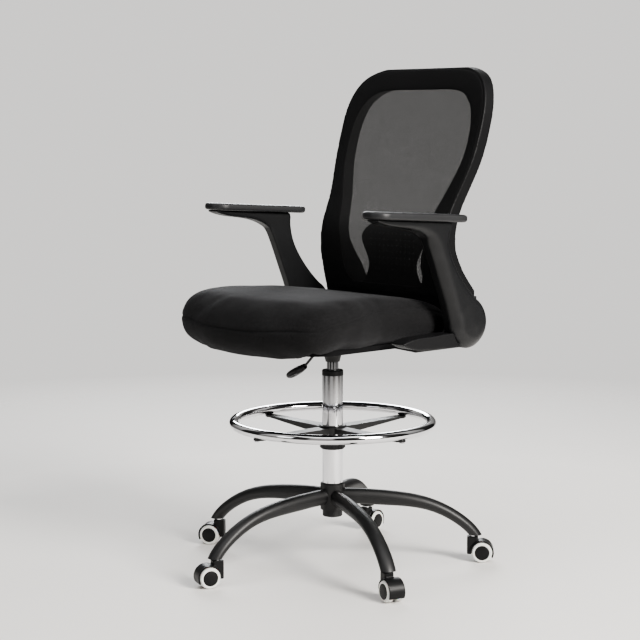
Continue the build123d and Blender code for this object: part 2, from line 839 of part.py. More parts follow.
def back_opening():
    """The opening in the back frame, wide at the shoulders and narrow at the foot."""
    top = shell_top_z + back_height - border_top
    side = back_half_width - border_side
    foot = opening_foot_half
    with BuildSketch(mode=Mode.PRIVATE) as opening:
        with BuildLine():
            edge = Spline(
                (0, top),
                (side - 78.0, top - 3.0),
                (side - 28.0, top - 30.0),
                (side - 6.0, top - 74.0),
                (side, top - 122.0),
                (side - 5.0, top - 180.0),
                (side - 24.0, top - 240.0),
                (side - 42.0, top - 290.0),
                (foot + 8.0, top - 362.0),
                (foot - 6.0, hole_foot_z + 26.0),
                (foot - 28.0, hole_foot_z),
                tangents=((1, 0), (-1, 0)),
            )
            Polyline(edge @ 1, (0, hole_foot_z), edge @ 0)
        make_face()
        mirror(about=Plane.YZ)
    return opening.sketch


lug_outer = back_half_width - back_waist_trim + 3.0
lug_middle = lug_outer - lug_width / 2
tongue_rear_y = lug_rear_y + seated + tongue_thickness
tongue_bolts = [(side * lug_middle, lug_low_z + rise) for side in (-1, 1) for rise in (14.0, 40.0)]
lumbar_rear_y = lumbar_front_y + lumbar_thickness
lumbar_screws = [(x, back_band_z + 12.0) for x in (-96.0, -36.0, 36.0, 96.0)]
band_cut_half = 122.0
with BuildPart() as back_frame:
    with BuildSketch(Plane.XZ):
        add(back_outline(0.0, back_foot_z))
        for side in (-1, 1):
            with Locations((side * lug_middle, (back_foot_z + lug_low_z) / 2 + 2.0)):
                Rectangle(lug_width, back_foot_z - lug_low_z + 4.0)
        add(back_opening(), mode=Mode.SUBTRACT)
    extrude(amount=-500.0)
    with BuildSketch(side_plane(-half_seat)):
        with BuildLine():
            Spline(*lifted(back_front))
            Line(lifted(back_front)[-1], lifted(back_rear)[0])
            Spline(*lifted(back_rear))
            Polyline(
                lifted(back_rear)[-1],
                (lug_rear_y, lug_low_z),
                (lug_front_y, lug_low_z),
                (lug_front_y, back_foot_z),
                (back_foot_y, back_foot_z),
                lifted(back_front)[0],
            )
        make_face()
    extrude(amount=seat_width, mode=Mode.INTERSECT)
    with BuildSketch(Plane.XZ.offset(-lumbar_front_y + seated)):
        with Locations((0, back_band_z + 10.0)):
            Rectangle(2 * band_cut_half, 60.0)
    extrude(amount=-100.0, mode=Mode.SUBTRACT)
    with BuildSketch(Plane.XZ.offset(-back_foot_rear_y)):
        with Locations((0, back_band_z - 50.0)):
            Rectangle(2 * (lug_outer - lug_width), 100.0)
    extrude(amount=-100.0, mode=Mode.SUBTRACT)
    with BuildSketch(Plane.XZ.offset(-tongue_rear_y)):
        with Locations(*tongue_bolts):
            Circle(bolt_radius + running)
    extrude(amount=30.0, mode=Mode.SUBTRACT)
    with BuildSketch(Plane.XZ.offset(-lumbar_rear_y)):
        with Locations(*lumbar_screws):
            Circle(bolt_radius + running)
    extrude(amount=18.0, mode=Mode.SUBTRACT)
save(back_frame.part, "back_frame")

mesh_foot_z = back_band_z + 6.0
with BuildPart() as back_mesh:
    with BuildSketch(Plane.XZ):
        add(back_outline(5.0, mesh_foot_z))
    extrude(amount=-500.0)
    with BuildSketch(side_plane(-half_seat)):
        with BuildLine():
            skin_rear = lifted(back_front, -seated)
            skin_front = lifted(back_front, -seated - mesh_thickness)
            Spline(*skin_rear)
            Spline(*skin_front)
            Line(skin_rear[0], skin_front[0])
            Line(skin_rear[-1], skin_front[-1])
        make_face()
    extrude(amount=seat_width, mode=Mode.INTERSECT)
save(back_mesh.part, "back_mesh")

lumbar_top_z = shell_top_z + lumbar_top
hole_rows = 7
hole_columns = 11
with BuildPart() as lumbar_panel:
    with BuildSketch(Plane.XZ.offset(-lumbar_front_y)):
        with BuildLine():
            edge = Spline(
                (0, lumbar_top_z),
                (lumbar_half_width - 34.0, lumbar_top_z - 3.0),
                (lumbar_half_width, lumbar_top_z - 34.0),
                (lumbar_half_width - 26.0, lumbar_top_z - 104.0),
                (lumbar_half_width - 14.0, back_band_z + 36.0),
                (lumbar_half_width + 8.0, back_band_z + 16.0),
                tangents=((1, 0), (1, -0.6)),
            )
            Polyline(
                edge @ 1,
                (lumbar_half_width + 8.0, back_band_z + 2.0),
                (0, back_band_z + 2.0),
                edge @ 0,
            )
        make_face()
        mirror(about=Plane.YZ)
        with Locations((0, lumbar_top_z - 70.0)):
            with GridLocations(lumbar_hole_pitch, lumbar_hole_pitch, hole_columns, hole_rows):
                Circle(lumbar_hole_radius, mode=Mode.SUBTRACT)
        with Locations(*lumbar_screws):
            Circle(bolt_radius + running, mode=Mode.SUBTRACT)
    extrude(amount=-lumbar_thickness)
save(lumbar_panel.part, "lumbar_panel")

# ======================= side brackets =======================
bar_low_z = shell_low_z - bar_thickness
shoe_gap = 1.2
shoe_points = [(-225, -33), (-205, -27), (-137, -22), (-94, -20)]
shoe_foot = [(-87, -54), (-149, -52), (-199, -45)]


def near_elbow(points):
    """Side-profile points given from the elbow's centre."""
    return [(elbow_y + y, elbow_z + height) for y, height in points]


def side_bracket(side, label):
    """The moulding under one side of the seat that carries the arm and the back's foot."""
    with BuildPart() as bracket:
        with BuildSketch(Plane.XY.offset(bar_low_z)):
            with BuildLine():
                Polyline(
                    (side * 150.0, 40.0),
                    (side * bracket_outer_x, 20.0),
                    (side * bracket_outer_x, elbow_y + 50.0),
                    (side * lug_outer, lug_rear_y - 10.0),
                    (side * lug_outer, tongue_rear_y),
                    (side * (lug_outer - lug_width), tongue_rear_y),
                    (side * (lug_outer - lug_width), lug_rear_y - 40.0),
                    (side * 150.0, 175.0),
                    close=True,
                )
            make_face()
        extrude(amount=bar_thickness)
        with BuildSketch(side_plane(side * bracket_inner_x)):
            with BuildLine():
                Polyline(
                    (20.0, bar_low_z),
                    (elbow_y + 50.0, bar_low_z),
                    (elbow_y + 42.0, elbow_z),
                    (elbow_y - 42.0, elbow_z),
                    (elbow_y - 60.0, elbow_z - 26.0),
                    (20.0, elbow_z - 26.0),
                    close=True,
                )
            make_face()
            with Locations((elbow_y, elbow_z)):
                Circle(43.0)
        extrude(amount=side * bracket_plate)
        shoe_arc_top = (elbow_y - 59.0, elbow_z - 20.0)
        shoe_arc_foot = (elbow_y - 30.0, elbow_z - 54.7)
        reach = elbow_radius + shoe_gap
        with BuildSketch(side_plane(side * bracket_inner_x)):
            with BuildLine():
                Spline(*near_elbow(shoe_points))
                Line(near_elbow(shoe_points)[-1], shoe_arc_top)
                Line(shoe_arc_top, shoe_arc_foot)
                Line(shoe_arc_foot, near_elbow(shoe_foot)[0])
                Spline(*near_elbow(shoe_foot), near_elbow(shoe_points)[0])
            make_face()
            with Locations((elbow_y, elbow_z)):
                Circle(reach, mode=Mode.SUBTRACT)
        extrude(amount=side * shoe_width)
        rib_x = side * (lug_outer - lug_width / 2)
        with BuildSketch(side_plane(rib_x)):
            with BuildLine():
                Polyline(
                    (lug_rear_y + 1.0, lug_low_z - 3.0),
                    (lug_rear_y + 1.0, bar_low_z + 1.0),
                    (lug_front_y + 2.0, bar_low_z + 1.0),
                    close=True,
                )
            make_face()
        extrude(amount=3.0, both=True)
        with BuildSketch(Plane.XZ.offset(-tongue_rear_y)):
            with Locations((side * lug_middle, (bar_low_z + lug_low_z + 54.0) / 2)):
                Rectangle(lug_width, lug_low_z + 54.0 - bar_low_z)
            with Locations(*tongue_bolts):
                Circle(bolt_radius + running, mode=Mode.SUBTRACT)
        extrude(amount=tongue_thickness)
        with BuildSketch(Plane.XY.offset(bar_low_z)):
            with Locations(*[(side * x, y) for x, y in bracket_bolts]):
                Circle(bolt_radius + running)
        extrude(amount=bar_thickness, mode=Mode.SUBTRACT)
        with BuildSketch(side_plane(side * bracket_inner_x)):
            with Locations((elbow_y, elbow_z)):
                Circle(pivot_radius + seated)
        extrude(amount=side * bracket_plate, mode=Mode.SUBTRACT)
    save(bracket.part, label)


side_bracket(1, "side_bracket_left")
side_bracket(-1, "side_bracket_right")

# ======================= arms =======================
pad_mid_y = -3.5
pad_above_elbow = 245.0
pad_x_shift = 2.0
pivot_depth = 24.0
pad_rise = tan(radians(pad_tilt))


def under_pad(y):
    """Height of the arm's top face under the pad at this y."""
    return elbow_z + pad_above_elbow - (y - pad_mid_y) * pad_rise - seated


arm_front = [(-60, -8), (-74, 47), (-94, 97), (-119, 157), (-141, 203)]
arm_rear = [(-70, 228), (-65, 176), (-28, 112), (1, 79), (44, 42)]
wedge_tip_y = elbow_y - 313.0


def arm(side, label):
    """One flip-up arm, made at the middle and moved out: elbow, column and pad wedge."""
    with BuildPart() as piece:
        with BuildSketch(side_plane(0)):
            with BuildLine():
                front_edge = Spline(*near_elbow(arm_front))
                rear_edge = Spline(*near_elbow(arm_rear))
                rear_top = (elbow_y - 72.0, under_pad(elbow_y - 72.0))
                wedge_top = (wedge_tip_y, under_pad(wedge_tip_y))
                wedge_tip = (wedge_tip_y + 4.0, under_pad(wedge_tip_y) - 5.0)
                Polyline(rear_edge @ 0, rear_top, wedge_top, wedge_tip)
                Spline(
                    wedge_tip,
                    (elbow_y - 283.0, elbow_z + 240.0),
                    (elbow_y - 178.0, elbow_z + 222.0),
                    front_edge @ 1,
                )
                Polyline(rear_edge @ 1, (elbow_y, elbow_z), front_edge @ 0)
            make_face()
            with Locations((elbow_y, elbow_z)):
                Circle(elbow_radius)
        extrude(amount=side * arm_width)
        fillet(piece.faces().filter_by(Axis.X).edges(), arm_edge)
        with BuildSketch(side_plane(0)):
            with Locations((elbow_y, elbow_z)):
                Circle(pivot_radius + running)
        extrude(amount=side * (pivot_depth + 2.0), mode=Mode.SUBTRACT)
    save(piece.part.moved(Location((side * arm_inner_x, 0, 0))), label)


def arm_pad(side, label):
    """The pad that sits on one arm, leaning back by its tilt."""
    lean = radians(pad_tilt)
    pad_foot = Plane(
        origin=(side * (arm_mid_x - pad_x_shift), pad_mid_y, elbow_z + pad_above_elbow),
        x_dir=(0, cos(lean), -sin(lean)),
        z_dir=(0, sin(lean), cos(lean)),
    )
    with BuildPart() as piece:
        with BuildSketch(pad_foot):
            RectangleRounded(pad_length, pad_width, 0.44 * pad_width)
        extrude(amount=pad_thickness)
        faces_upward = piece.faces().sort_by(Axis(pad_foot.origin, pad_foot.z_dir))
        fillet(faces_upward[-1].edges() + faces_upward[0].edges(), pad_edge)
    save(piece.part, label)


arm(1, "arm_left")
arm(-1, "arm_right")
arm_pad(1, "arm_pad_left")
arm_pad(-1, "arm_pad_right")

# ======================= pins and bolts of the seat =======================
with BuildPart() as pivot_pins:
    with BuildSketch(across_lever(0)):
        Circle(lever_pin_radius)
    extrude(amount=ear_offset + ear_thickness + 1.5, both=True)
    for side in (-1, 1):
        with BuildSketch(side_plane(side * (bracket_inner_x + 0.1))):
            with Locations((elbow_y, elbow_z)):
                Circle(pivot_radius)
        extrude(amount=side * (bracket_plate + pivot_depth))
save(pivot_pins.part, "pivot_pins")

head_height = 3.0


def bolts(plane, places, grip):
    """Bolts whose heads sit on this plane and whose shanks run grip along its normal."""
    with BuildPart(mode=Mode.PRIVATE) as row:
        with BuildSketch(plane):
            with Locations(*places):
                Circle(bolt_radius)
        extrude(amount=grip)
        with BuildSketch(plane):
            with Locations(*places):
                Circle(1.8 * bolt_radius)
        extrude(amount=-head_height)
    return row.part


shank_in_shell = shell_thickness - 1.5
plate_places = [(x * plate_bolt_spacing / 2, y * plate_bolt_depth / 2) for x in (-1, 1) for y in (-1, 1)]
bar_places = [(side * x, y) for side in (-1, 1) for x, y in bracket_bolts]
with BuildPart() as seat_bolts:
    add(bolts(Plane.XY.offset(flange_low_z), plate_places, dish_sheet + shank_in_shell))
    add(bolts(Plane.XY.offset(bar_low_z), bar_places, bar_thickness + shank_in_shell))
    add(bolts(Plane.XZ.offset(-tongue_rear_y), tongue_bolts, tongue_thickness + 20.0))
    add(bolts(Plane.XZ.offset(-lumbar_rear_y), lumbar_screws, lumbar_thickness + 12.0))
save(seat_bolts.part, "seat_bolts")
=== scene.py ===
import math

import bmesh
import bpy
import numpy as np
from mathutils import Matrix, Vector
from mathutils.kdtree import KDTree


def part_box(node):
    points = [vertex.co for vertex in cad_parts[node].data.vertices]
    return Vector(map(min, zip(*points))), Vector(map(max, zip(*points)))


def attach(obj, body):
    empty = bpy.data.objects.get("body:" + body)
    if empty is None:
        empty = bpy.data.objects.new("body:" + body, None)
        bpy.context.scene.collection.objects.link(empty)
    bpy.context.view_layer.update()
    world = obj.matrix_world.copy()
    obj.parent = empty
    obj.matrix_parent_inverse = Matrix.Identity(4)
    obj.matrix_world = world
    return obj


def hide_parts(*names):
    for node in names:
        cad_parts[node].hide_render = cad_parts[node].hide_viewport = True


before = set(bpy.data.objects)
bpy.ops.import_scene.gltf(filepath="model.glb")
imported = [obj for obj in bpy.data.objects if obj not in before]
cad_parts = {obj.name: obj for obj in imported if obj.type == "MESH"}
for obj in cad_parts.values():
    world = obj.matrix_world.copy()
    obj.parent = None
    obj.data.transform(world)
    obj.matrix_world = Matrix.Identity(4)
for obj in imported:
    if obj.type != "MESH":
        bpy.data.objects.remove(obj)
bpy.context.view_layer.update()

# Metres.  The chair faces -Y, the sitter's left is +X, and the floor is z = 0.
MM = 0.001
SIDES = (("left", 1.0), ("right", -1.0))
CASTERS = range(1, 6)


# ---------------------------------------------------------------- camera, floor and light
CAMERA_AZIMUTH = 47.5
CAMERA_DISTANCE = 4.071
CAMERA_HEIGHT = 1.069
CAMERA_PITCH = 6.61
CAMERA_TURN = 0.43
CAMERA_LENS = 95.74


def place_camera():
    """The eye-level view from the front left of the sitter."""
    heading = math.radians(CAMERA_AZIMUTH)
    data = bpy.data.cameras.new("camera")
    data.lens = CAMERA_LENS
    data.sensor_width = 36.0
    camera = bpy.data.objects.new("camera", data)
    camera.location = (
        CAMERA_DISTANCE * math.sin(heading), -CAMERA_DISTANCE * math.cos(heading), CAMERA_HEIGHT
    )
    camera.rotation_euler = (
        math.radians(90.0 - CAMERA_PITCH), 0.0, heading + math.radians(CAMERA_TURN)
    )
    bpy.context.collection.objects.link(camera)
    bpy.context.scene.camera = camera


def area_light(name, place, aim, size, power, colour=(1.0, 1.0, 1.0)):
    """A soft square light at place, facing aim."""
    data = bpy.data.lights.new(name, "AREA")
    data.shape = "RECTANGLE"
    data.size, data.size_y = size
    data.energy = power
    data.color = colour
    light = bpy.data.objects.new(name, data)
    light.location = place
    light.rotation_euler = (Vector(aim) - Vector(place)).to_track_quat("-Z", "Y").to_euler()
    bpy.context.collection.objects.link(light)


def sky_light(strength, spread, tilt):
    """A broad even light from above: spread and tilt are in degrees."""
    data = bpy.data.lights.new("sky", "SUN")
    data.energy = strength
    data.angle = math.radians(spread)
    light = bpy.data.objects.new("sky", data)
    light.rotation_euler = (math.radians(tilt[0]), math.radians(tilt[1]), 0.0)
    bpy.context.collection.objects.link(light)


ROOM_BANDS = 6.0
ROOM_TURN = 1.1
ROOM_GREYS = [
    # height from straight down (0) to straight up (1), and grey
    (0.0, 0.22), (0.42, 0.20), (0.52, 0.10), (0.66, 0.30), (1.0, 0.60),
]
BACKDROP = (0.86, 0.845, 0.825, 1.0)


def studio_world():
    """A pale backdrop, and round it the tall light and dark bands that the chrome mirrors."""
    world = bpy.data.worlds.new("studio")
    world.use_nodes = True
    tree = world.node_tree

    def node(kind, settings, links):
        made = tree.nodes.new(kind)
        for key, value in settings.items():
            setattr(made, key, value)
        for place, value in links.items():
            if isinstance(value, bpy.types.NodeSocket):
                tree.links.new(value, made.inputs[place])
            else:
                made.inputs[place].default_value = value
        return made

    def maths(operation, *terms, clamp=False):
        settings = {"operation": operation, "use_clamp": clamp}
        return node("ShaderNodeMath", settings, dict(enumerate(terms))).outputs[0]

    direction = node("ShaderNodeTexCoord", {}, {}).outputs["Generated"]
    parts = node("ShaderNodeSeparateXYZ", {}, {0: direction}).outputs
    heading = maths("ARCTAN2", parts[1], parts[0])
    wave = maths("SINE", maths("MULTIPLY_ADD", heading, ROOM_BANDS, ROOM_TURN))
    band = maths("MULTIPLY_ADD", wave, 2.2, 0.35, clamp=True)
    level = maths("MULTIPLY_ADD", parts[2], 0.5, 0.5)
    ramp = node("ShaderNodeValToRGB", {}, {0: level})
    while len(ramp.color_ramp.elements) < len(ROOM_GREYS):
        ramp.color_ramp.elements.new(0.5)
    for element, (place, grey) in zip(ramp.color_ramp.elements, ROOM_GREYS):
        element.position = place
        element.color = (grey, grey * 0.98, grey * 0.95, 1.0)
    strength = maths("MULTIPLY_ADD", band, 1.15, 0.10)
    room = node("ShaderNodeBackground", {}, {"Color": ramp.outputs[0], "Strength": strength})
    shown = node("ShaderNodeBackground", {}, {"Color": BACKDROP})
    eye = node("ShaderNodeLightPath", {}, {}).outputs["Is Camera Ray"]
    mix = node("ShaderNodeMixShader", {}, {0: eye, 1: room.outputs[0], 2: shown.outputs[0]})
    tree.links.new(mix.outputs[0], tree.nodes["World Output"].inputs["Surface"])
    bpy.context.scene.world = world


# ---------------------------------------------------------------- finishes
class Value:
    """A socket in a finish that takes part in Python arithmetic."""

    def __init__(self, finish, socket):
        self.finish = finish
        self.socket = socket

    def calc(self, operation, *terms, clamp=False):
        settings = {"operation": operation, "use_clamp": clamp}
        return self.finish.add("ShaderNodeMath", settings, list(terms))

    def __add__(self, other):
        return self.calc("ADD", self, other)

    def __radd__(self, other):
        return self.calc("ADD", other, self)

    def __sub__(self, other):
        return self.calc("SUBTRACT", self, other)

    def __rsub__(self, other):
        return self.calc("SUBTRACT", other, self)

    def __mul__(self, other):
        return self.calc("MULTIPLY", self, other)

    def __pow__(self, other):
        return self.calc("POWER", self, other)

    def __abs__(self):
        return self.calc("ABSOLUTE", self)

    def __gt__(self, other):
        return self.calc("GREATER_THAN", self, other)

    def sin(self):
        return self.calc("SINE", self)

    def clamped(self):
        return self.calc("ADD", self, 0.0, clamp=True)


class Finish:
    """One material: a Principled shader and the nodes that feed it."""

    def __init__(self, name, **fixed):
        self.material = bpy.data.materials.new(name)
        self.material.use_nodes = True
        self.tree = self.material.node_tree
        self.tree.nodes.clear()
        self.shader = self.tree.nodes.new("ShaderNodeBsdfPrincipled")
        output = self.tree.nodes.new("ShaderNodeOutputMaterial")
        self.tree.links.new(self.shader.outputs["BSDF"], output.inputs["Surface"])
        for key, value in fixed.items():
            self.feed(self.shader.inputs[key.replace("_", " ")], value)

    def feed(self, socket, value):
        """Link a Value into a socket, or set the socket to a plain number or colour."""
        if isinstance(value, Value):
            self.tree.links.new(value.socket, socket)
        elif hasattr(value, "__len__") and len(value) == 3 and socket.type == "RGBA":
            socket.default_value = (*value, 1.0)
        else:
            socket.default_value = value

    def add(self, kind, settings=None, sockets=(), output=0):
        """Add a node: its settings first, then its sockets by place or by name."""
        node = self.tree.nodes.new(kind)
        for key, value in (settings or {}).items():
            setattr(node, key, value)
        pairs = sockets.items() if isinstance(sockets, dict) else enumerate(sockets)
        for key, value in pairs:
            self.feed(node.inputs[key], value)
        return Value(self, node.outputs[output])

    def place(self):
        """Where a point lies on the piece, in metres."""
        return self.add("ShaderNodeTexCoord", output="Object")

    def split(self, vector):
        """The three parts of a vector."""
        node = self.tree.nodes.new("ShaderNodeSeparateXYZ")
        self.feed(node.inputs[0], vector)
        return [Value(self, socket) for socket in node.outputs]

    def noise(self, scale, detail=2.0, roughness=0.5, stretch=(1.0, 1.0, 1.0)):
        """Smooth noise from 0 to 1 with this many features to the metre."""
        where = self.add("ShaderNodeVectorMath", {"operation": "MULTIPLY"}, [self.place(), stretch])
        sockets = {"Vector": where, "Scale": scale, "Detail": detail, "Roughness": roughness}
        return self.add("ShaderNodeTexNoise", sockets=sockets)

    def blend(self, share, first, second):
        """A colour from first to second as share goes from 0 to 1."""
        node = self.tree.nodes.new("ShaderNodeMix")
        node.data_type = "RGBA"
        self.feed(node.inputs[0], share)
        self.feed(node.inputs[6], first)
        self.feed(node.inputs[7], second)
        return Value(self, node.outputs[2])

    def colour(self, value):
        self.feed(self.shader.inputs["Base Color"], value)

    def rough(self, value):
        self.feed(self.shader.inputs["Roughness"], value)

    def bump(self, height, strength, distance):
        """Raise the surface by a height from 0 to 1 that spans distance metres."""
        sockets = {"Strength": strength, "Distance": distance, "Height": height}
        bumped = self.add("ShaderNodeBump", sockets=sockets)
        self.feed(self.shader.inputs["Normal"], bumped)


def edge_wear(finish, scale=26.0):
    """A mask of faint rubbed patches."""
    return ((finish.noise(scale, 4.0, 0.6) - 0.52) * 5.0).clamped()


def moulded_plastic(name, tone, roughness, specular, grain=1500.0):
    """Moulded plastic with a fine spark-eroded grain and faint rubbed patches."""
    finish = Finish(name, Specular_IOR_Level=specular)
    grit = finish.noise(grain, 3.0, 0.6)
    worn = edge_wear(finish)
    light = tuple(1.9 * part for part in tone)
    finish.colour(finish.blend(worn * 0.35 + grit * 0.25, tone, light))
    finish.rough(roughness - worn * 0.05 + grit * 0.10)
    finish.bump(grit, 0.55, 0.12 * MM)
    return finish.material


def powder_coat(name, tone, roughness):
    """Semi-gloss stoved paint with a slight orange peel."""
    finish = Finish(name, Specular_IOR_Level=0.5, Coat_Weight=0.10, Coat_Roughness=0.30)
    peel = finish.noise(420.0, 2.0, 0.5)
    worn = edge_wear(finish, 18.0)
    light = tuple(1.8 * part for part in tone)
    finish.colour(finish.blend(worn * 0.4, tone, light))
    finish.rough(roughness + worn * 0.08 + peel * 0.04)
    finish.bump(peel, 0.35, 0.25 * MM)
    return finish.material


# painted shade: the flat black given to the column's foot under the hub
PAINTED_SHADE_BLACK = (0.006, 0.006, 0.0065)


def polished_metal(name, tone, roughness, painted_shade_below=None):
    """Bright metal with faint smears and hairlines, and painted shade: flat black below a height."""
    finish = Finish(name)
    smear = finish.noise(14.0, 5.0, 0.65)
    hair = finish.noise(60.0, 2.0, 0.5, stretch=(30.0, 30.0, 1.0))
    dull = tuple(0.86 * part for part in tone)
    colour = finish.blend(smear * 0.5, tone, dull)
    rough = roughness + ((smear - 0.45) * 0.10).clamped() + hair * 0.02
    if painted_shade_below is None:
        finish.feed(finish.shader.inputs["Metallic"], 1.0)
    else:
        # painted shade: below this height the bright metal turns flat black, standing in for the shade
        # under the hub
        height = finish.split(finish.place())[2]
        above_painted_shade = height > painted_shade_below
        colour = finish.blend(above_painted_shade, PAINTED_SHADE_BLACK, colour)
        rough = rough * above_painted_shade + (1.0 - above_painted_shade) * 0.5
        finish.feed(finish.shader.inputs["Metallic"], above_painted_shade)
    finish.colour(colour)
    finish.rough(rough)
    finish.bump(hair, 0.05, 0.05 * MM)
    return finish.material


def plain_weave(u, v, pitch):
    """Height of a plain weave of yarns this far apart, from 0 to 1."""
    turns = math.pi / pitch
    warp = (u * turns).sin()
    weft = (v * turns).sin()
    over = (warp * weft) > 0.0
    return over * abs(warp) + (1.0 - over) * abs(weft)


def woven_cloth(name, dark, light, pitch):
    """Woven upholstery: yarns on every face, uneven in tone, with a soft bloom."""
    finish = Finish(name, Sheen_Weight=0.07, Sheen_Roughness=0.55, Specular_IOR_Level=0.12)
    finish.feed(finish.shader.inputs["Sheen Tint"], (0.75, 0.76, 0.80))
    x, y, z = finish.split(finish.place())
    facing = finish.split(finish.add("ShaderNodeNewGeometry", output="Normal"))
    share_x, share_y, share_z = [part * part for part in facing]
    yarn = (
        plain_weave(y, z, pitch) * share_x
        + plain_weave(x, z, pitch) * share_y
        + plain_weave(x, y, pitch) * share_z
    )
    fleck = finish.noise(380.0, 3.0, 0.7)
    drift = finish.noise(9.0, 3.0, 0.5)
    tone = (yarn * 0.40 + (fleck - 0.42) * 1.8 + (drift - 0.5) * 0.4).clamped()
    finish.colour(finish.blend(tone, dark, light))
    finish.rough(0.86 - yarn * 0.10)
    finish.bump(yarn * 0.7 + fleck * 0.5, 0.8, 0.5 * MM)
    return finish.material


def open_mesh(name, dark, light, pitch, cover):
    """Knitted mesh: slanting rows of small holes between black yarns."""
    finish = Finish(name, Sheen_Weight=0.15, Sheen_Roughness=0.5, Specular_IOR_Level=0.2)
    x, _, z = finish.split(finish.place())
    turns = math.pi / pitch
    slack = finish.noise(70.0, 3.0, 0.6) * 5.0
    across = ((x * 0.82 + z * 0.57) * turns + slack).sin()
    along = ((x * -0.57 + z * 0.82) * turns + slack).sin()
    cell = abs(across) * abs(along)
    uneven = finish.noise(240.0, 2.0, 0.6)
    open_share = ((cell - cover + (uneven - 0.5) * 0.30) * 2.4).clamped()
    yarn = 1.0 - open_share * 0.92
    fleck = finish.noise(500.0, 2.0, 0.6)
    finish.colour(finish.blend(fleck, dark, light))
    finish.rough(0.8 - fleck * 0.1)
    finish.feed(finish.shader.inputs["Alpha"], yarn)
    finish.bump(yarn + fleck * 0.3, 0.5, 0.35 * MM)
    return finish.material


def soft_tread(name, tone, shade):
    """Pale cast tread with light scuffs."""
    finish = Finish(name, Specular_IOR_Level=0.4, Subsurface_Weight=0.05)
    scuff = ((finish.noise(160.0, 5.0, 0.7) - 0.5) * 3.0).clamped()
    finish.colour(finish.blend(scuff * 0.6, tone, shade))
    finish.rough(0.42 + scuff * 0.2)
    finish.bump(scuff, 0.2, 0.1 * MM)
    return finish.material


def dust_cover(name, tone, depth):
    """Thin black bonded cloth stapled under the seat."""
    finish = Finish(name, Specular_IOR_Level=0.2)
    fibre = finish.noise(700.0, 4.0, 0.7)
    crease = finish.noise(12.0, 2.0, 0.5)
    light = tuple(2.2 * part for part in tone)
    finish.colour(finish.blend(fibre * 0.5, tone, light))
    finish.rough(0.85 + fibre * 0.1)
    finish.bump(fibre * 0.3 + crease, 0.4, depth)
    return finish.material


FLOOR_REACH = 1.4
FLOOR_FADE = 0.55


def floor_finish():
    """Pale matt studio floor that fades into the backdrop far from the chair."""
    finish = Finish("studio_floor", Specular_IOR_Level=0.1)
    x, y, _ = finish.split(finish.place())
    far = (x * x + y * y) ** 0.5
    mottle = finish.noise(3.0, 3.0, 0.5)
    finish.colour(finish.blend(mottle, (0.80, 0.785, 0.765), (0.77, 0.755, 0.735)))
    finish.rough(0.8 + mottle * 0.1)
    finish.feed(finish.shader.inputs["Alpha"], 1.0 - ((far - FLOOR_REACH) * FLOOR_FADE).clamped())
    return finish.material


PLASTIC = moulded_plastic("black_plastic", (0.0065, 0.0065, 0.0072), 0.40, specular=0.35)
ARM_PLASTIC = moulded_plastic("arm_plastic", (0.0105, 0.0108, 0.0116), 0.34, specular=0.40)
PAD_SKIN = moulded_plastic("pad_skin", (0.020, 0.0205, 0.0220), 0.42, grain=900.0, specular=0.50)
FRAME_PLASTIC = moulded_plastic("frame_plastic", (0.0060, 0.0061, 0.0067), 0.46, specular=0.24)
CAP_PLASTIC = moulded_plastic("cap_plastic", (0.0055, 0.0055, 0.0060), 0.34, specular=0.28)
STEEL = powder_coat("black_steel", (0.0055, 0.0055, 0.0060), 0.46)
CHROME = polished_metal("chrome", (0.84, 0.84, 0.86), 0.06)
# painted shade: the column below the hub's underside is coloured flat black
COLUMN_CHROME = polished_metal("column_chrome", (0.84, 0.84, 0.86), 0.06, painted_shade_below=0.136)
ZINC = polished_metal("zinc_steel", (0.62, 0.62, 0.64), 0.26)
CLOTH = woven_cloth("seat_cloth", (0.0016, 0.0016, 0.0018), (0.0250, 0.0245, 0.0255), 1.9 * MM)
MESH_CLOTH = open_mesh("mesh_cloth", (0.004, 0.004, 0.0045), (0.014, 0.014, 0.015), 2.3 * MM, 0.62)
EDGE_CLOTH = woven_cloth("edge_cloth", (0.0020, 0.0020, 0.0022), (0.0095, 0.0095, 0.0102), 1.4 * MM)
TREAD = soft_tread("pale_tread", (0.80, 0.79, 0.76), (0.58, 0.56, 0.52))
DUST = dust_cover("dust_cover", (0.004, 0.004, 0.0045), 1.2 * MM)


# ---------------------------------------------------------------- mesh helpers
SMOOTHING = 0.5
WELD = 1e-6
SPLINE_STEPS = 24


def piece(name, points, faces, finish, body, replaces):
    """A shown piece made of points and faces, riding on a body."""
    mesh = bpy.data.meshes.new(name)
    mesh.from_pydata([tuple(point) for point in points], [], [tuple(face) for face in faces])
    mesh.validate()
    made = bpy.data.objects.new(name, mesh)
    bpy.context.collection.objects.link(made)
    return dress(made, finish, body, replaces)


def dress(made, finish, body, replaces):
    """Give a piece its material and body, and hide the CAD nodes that it stands for."""
    made.data.materials.clear()
    made.data.materials.append(finish)
    face_outward(made.data)
    for polygon in made.data.polygons:
        polygon.use_smooth = True
    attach(made, body)
    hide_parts(*replaces)
    return made


def face_outward(mesh):
    """Make every face of a closed mesh point out."""
    work = bmesh.new()
    work.from_mesh(mesh)
    bmesh.ops.recalc_face_normals(work, faces=work.faces)
    work.to_mesh(mesh)
    work.free()


def curve_through(points, count):
    """count points spaced evenly along a smooth curve through the given points."""
    knots = np.array(points, dtype=float)
    ends = np.vstack([2 * knots[0] - knots[1], knots, 2 * knots[-1] - knots[-2]])
    dense = []
    for i in range(1, len(ends) - 2):
        before, start, end, after = ends[i - 1], ends[i], ends[i + 1], ends[i + 2]
        for t in np.linspace(0.0, 1.0, SPLINE_STEPS, endpoint=False):
            dense.append(0.5 * (
                2 * start
                + (end - before) * t
                + (2 * before - 5 * start + 4 * end - after) * t * t
                + (3 * start - before - 3 * end + after) * t ** 3
            ))
    dense.append(knots[-1])
    return evenly(np.array(dense), count)


